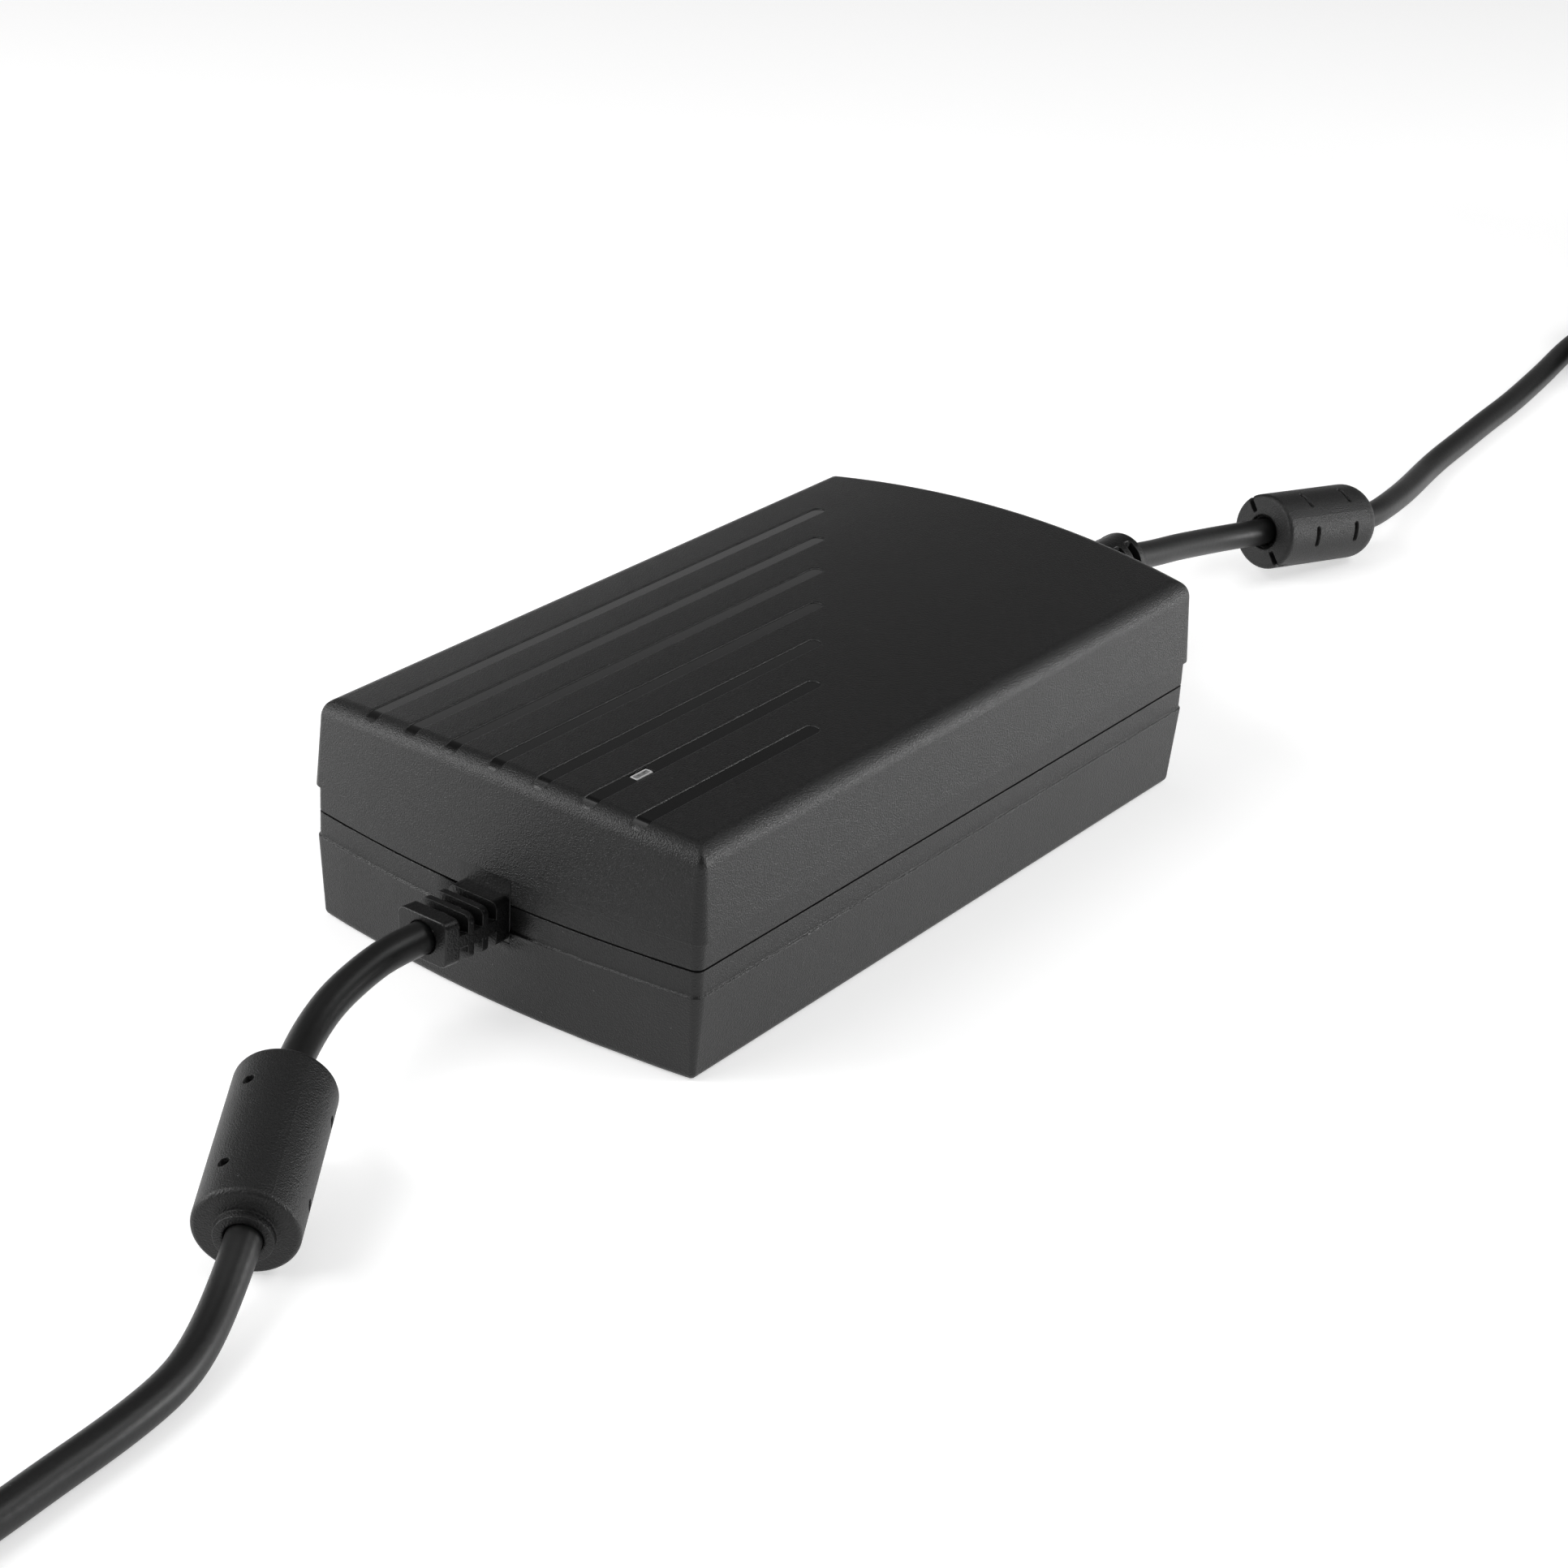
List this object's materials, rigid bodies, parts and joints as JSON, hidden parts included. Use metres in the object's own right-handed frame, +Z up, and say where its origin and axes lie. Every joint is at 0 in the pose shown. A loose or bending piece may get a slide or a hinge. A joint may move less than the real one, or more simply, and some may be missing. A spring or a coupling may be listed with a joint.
{
  "type": "laptop power adapter",
  "caption": "Black brick-shaped laptop power adapter with a crowned, grooved top, a captive output lead with a barrel plug and a mains lead that unplugs; both leads carry ferrite sleeves.",
  "frame": {"origin": "middle of the case's flat underside, on the surface it rests on", "axes": "+X along the case towards the mains inlet, +Y to the side of the long grooves, +Z up through the grooved top"},
  "size_m": [0.8474, 0.1047, 0.0439],
  "materials": {
    "case_plastic": "black, fine spark-eroded grain",
    "clear_plastic": "clear, polished",
    "soft_plastic": "black, fine matt grain",
    "jacket": "black, semi-gloss extruded jacket",
    "sleeve_plastic": "black, fine grain",
    "plug_plastic": "black, satin",
    "zinc_steel": "bright zinc plate",
    "nickel": "nickel plate",
    "contact_brass": "plain brass",
    "board": "green lacquered laminate",
    "sheet": "smooth fibre sheet",
    "moulding": "black moulded body",
    "blue_coat": "dipped coating",
    "yellow_box": "moulded box",
    "brown_body": "moulded body",
    "white_body": "moulded body",
    "film": "shrunk film over an aluminium can",
    "ferrite": "dark grey, fired",
    "copper": "enamelled copper wire",
    "tape": "polyester tape over wire",
    "aluminium": "mill finish",
    "wire_red": "insulated wire",
    "led": "tinted resin"
  },
  "bodies": {
    "case": {"upper_cover": "case_plastic", "lower_cover": "case_plastic", "case_screws": "zinc_steel", "indicator_lens": "clear_plastic", "circuit_board": "board", "insulating_sheet": "sheet", "mains_inlet": "plug_plastic", "inlet_pins": "nickel", "fuse": "brown_body", "varistor": "blue_coat", "x_capacitor": "yellow_box", "line_choke_core": "ferrite", "line_choke_windings": "copper", "bridge_rectifier": "moulding", "primary_heatsink": "aluminium", "switching_transistors": "moulding", "boost_core": "ferrite", "boost_winding": "tape", "bulk_capacitor": "film", "transformer_core": "ferrite", "transformer_winding": "tape", "safety_capacitor": "blue_coat", "optocouplers": "white_body", "control_chip": "moulding", "secondary_heatsink": "aluminium", "output_rectifiers": "moulding", "device_screws": "zinc_steel", "output_choke_core": "ferrite", "output_choke_winding": "copper", "output_capacitors": "film", "status_led": "led", "output_wires": "wire_red", "output_relief": "soft_plastic", "output_lead": "jacket", "output_ferrite_sleeve": "sleeve_plastic", "output_ferrite_core": "ferrite", "output_coil": "jacket", "output_tie": "soft_plastic", "output_tail": "jacket", "output_plug_grip": "soft_plastic", "output_plug_barrel": "nickel", "output_plug_insulator": "plug_plastic"},
    "mains_lead": {"mains_connector": "soft_plastic", "connector_contacts": "contact_brass", "mains_lead": "jacket", "mains_ferrite_sleeve": "sleeve_plastic", "mains_ferrite_core": "ferrite", "mains_coil": "jacket", "mains_tie": "soft_plastic", "mains_tail": "jacket", "mains_plug_body": "soft_plastic", "mains_plug_blades": "contact_brass", "mains_plug_earth_pin": "contact_brass"}
  },
  "joints": [
    {"name": "mains_plug_in", "type": "slide", "parent": "case", "child": "mains_lead", "axis": [1, 0, 0], "range_m": [0, 0.015]}
  ]
}
